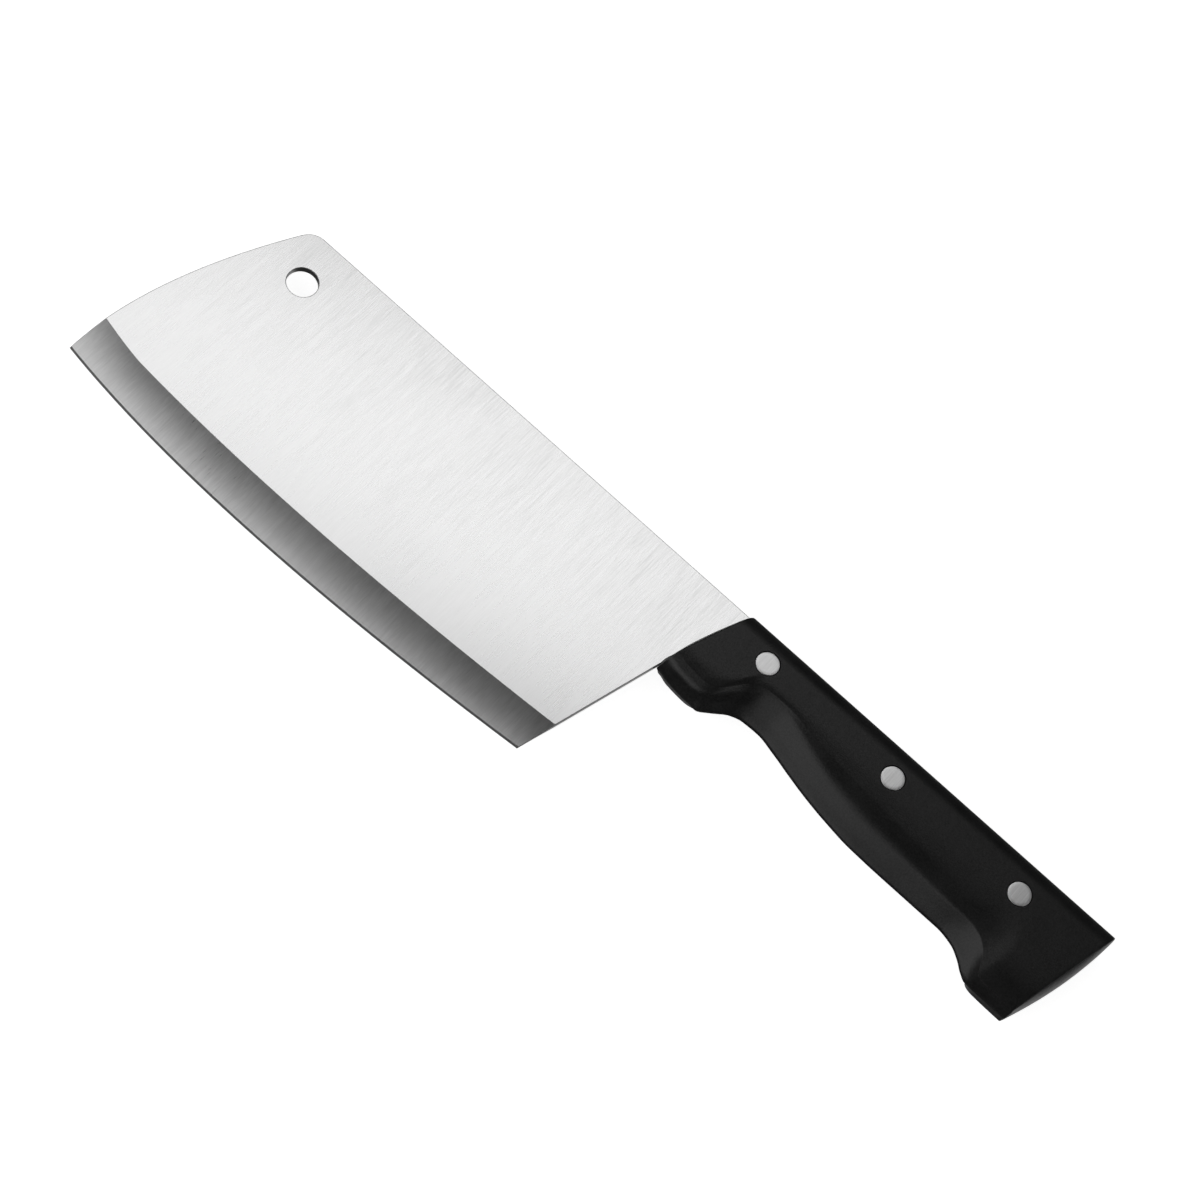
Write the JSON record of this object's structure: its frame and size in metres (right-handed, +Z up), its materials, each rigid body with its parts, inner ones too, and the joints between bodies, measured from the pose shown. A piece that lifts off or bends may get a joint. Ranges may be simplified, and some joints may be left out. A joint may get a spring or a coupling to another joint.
{
  "type": "meat cleaver",
  "caption": "Meat cleaver with a broad, gently curved ground blade, a hanging hole near the spine, and a riveted black handle with a finger notch and hooked butt.",
  "frame": {"origin": "middle of the bounding box in X and Y, on the plane the tool lies on: the flat outer side of the lower handle scale", "axes": "+X along the spine towards the butt of the handle, +Y across the blade towards the spine, +Z up through the upper handle scale"},
  "size_m": [0.2758, 0.0698, 0.014],
  "materials": {
    "blade_steel": "satin ground across the blade, with finer lines along the bevel and a polished narrow strip at the cutting edge",
    "handle_plastic": "moulded black plastic with a fine satin texture and a slight sheen",
    "rivet_steel": "flat heads ground flush with the scales"
  },
  "bodies": {
    "root": {"blade": "blade_steel", "front_scale": "handle_plastic", "back_scale": "handle_plastic", "rivet_1_tube": "rivet_steel", "rivet_1_pin": "rivet_steel", "rivet_2_tube": "rivet_steel", "rivet_2_pin": "rivet_steel", "rivet_3_tube": "rivet_steel", "rivet_3_pin": "rivet_steel"}
  },
  "joints": []
}
